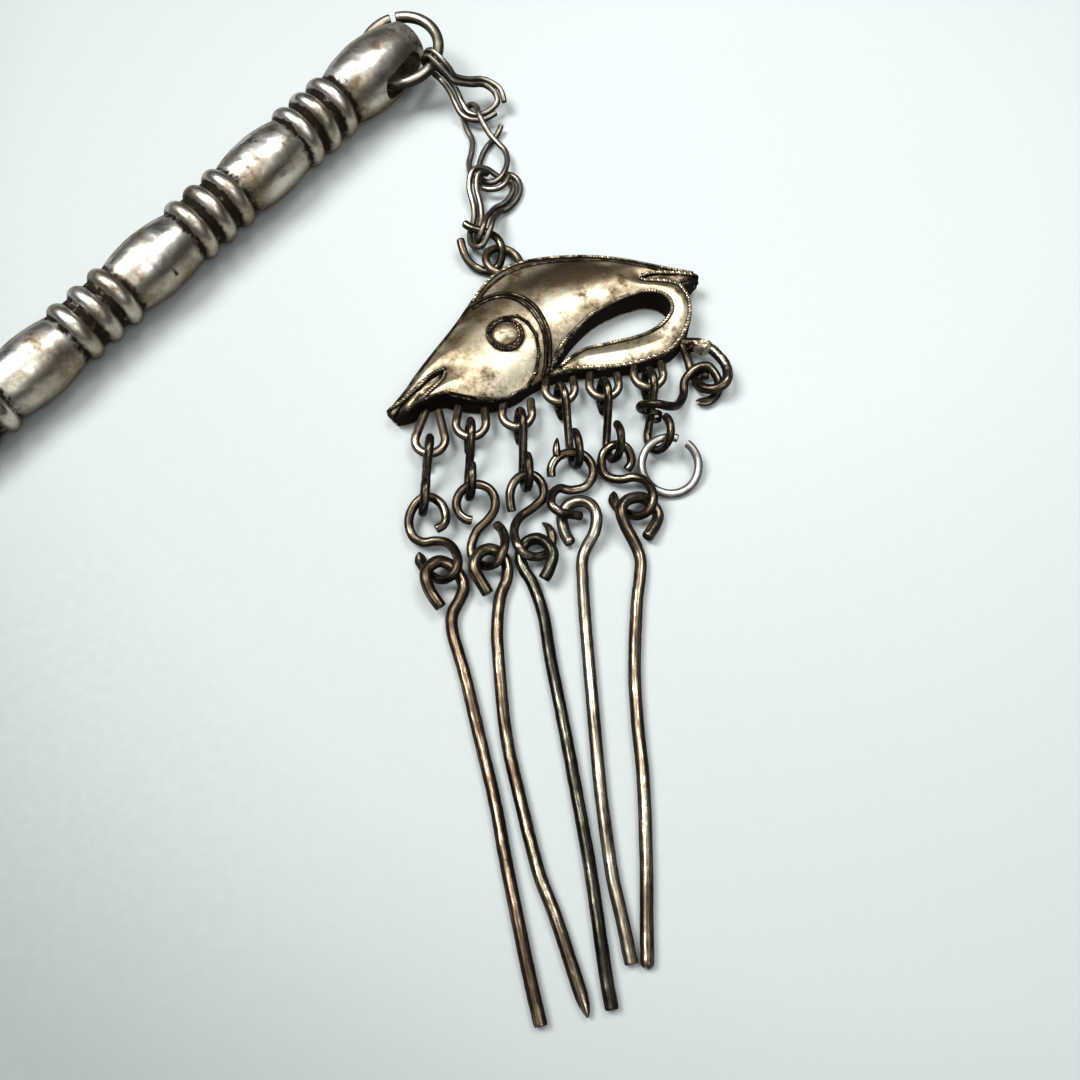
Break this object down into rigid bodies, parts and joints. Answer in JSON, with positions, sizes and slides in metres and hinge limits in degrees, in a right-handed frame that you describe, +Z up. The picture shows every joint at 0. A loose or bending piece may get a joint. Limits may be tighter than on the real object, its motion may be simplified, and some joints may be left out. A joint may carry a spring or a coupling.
{
  "type": "hairpin",
  "caption": "Silver hair stick with turned rings and barrels, a chain, a fish pendant and wire drops on small links.",
  "frame": {"origin": "on the table under the middle of the whole object as it lies", "axes": "+Z up from the table, +X right and +Y away from the viewer; the stick's head points to the upper right"},
  "size_m": [0.1438, 0.133, 0.0096],
  "materials": {
    "stick_silver": "worn satin with dark tarnish in the grooves",
    "link_silver": "worn silver wire with dark tarnish",
    "pendant_silver": "warm polished silver with dark crevices",
    "drop_silver": "dark tarnished silver wire",
    "ring_silver": "plain bright silver wire"
  },
  "bodies": {
    "root": {"stick": "stick_silver", "end_ring": "link_silver", "link_a": "link_silver", "link_b": "link_silver", "link_c": "link_silver", "hook_link": "link_silver", "pendant": "pendant_silver", "upper_link_1": "link_silver", "upper_link_2": "link_silver", "upper_link_3": "link_silver", "upper_link_4": "link_silver", "upper_link_5": "link_silver", "upper_link_6": "link_silver", "lower_link_1": "link_silver", "lower_link_2": "link_silver", "lower_link_3": "link_silver", "lower_link_4": "link_silver", "lower_link_5": "link_silver", "joining_link": "link_silver", "split_ring": "ring_silver", "drop_1": "drop_silver", "drop_2": "drop_silver", "drop_3": "drop_silver", "drop_4": "drop_silver", "drop_5": "drop_silver"}
  },
  "joints": []
}
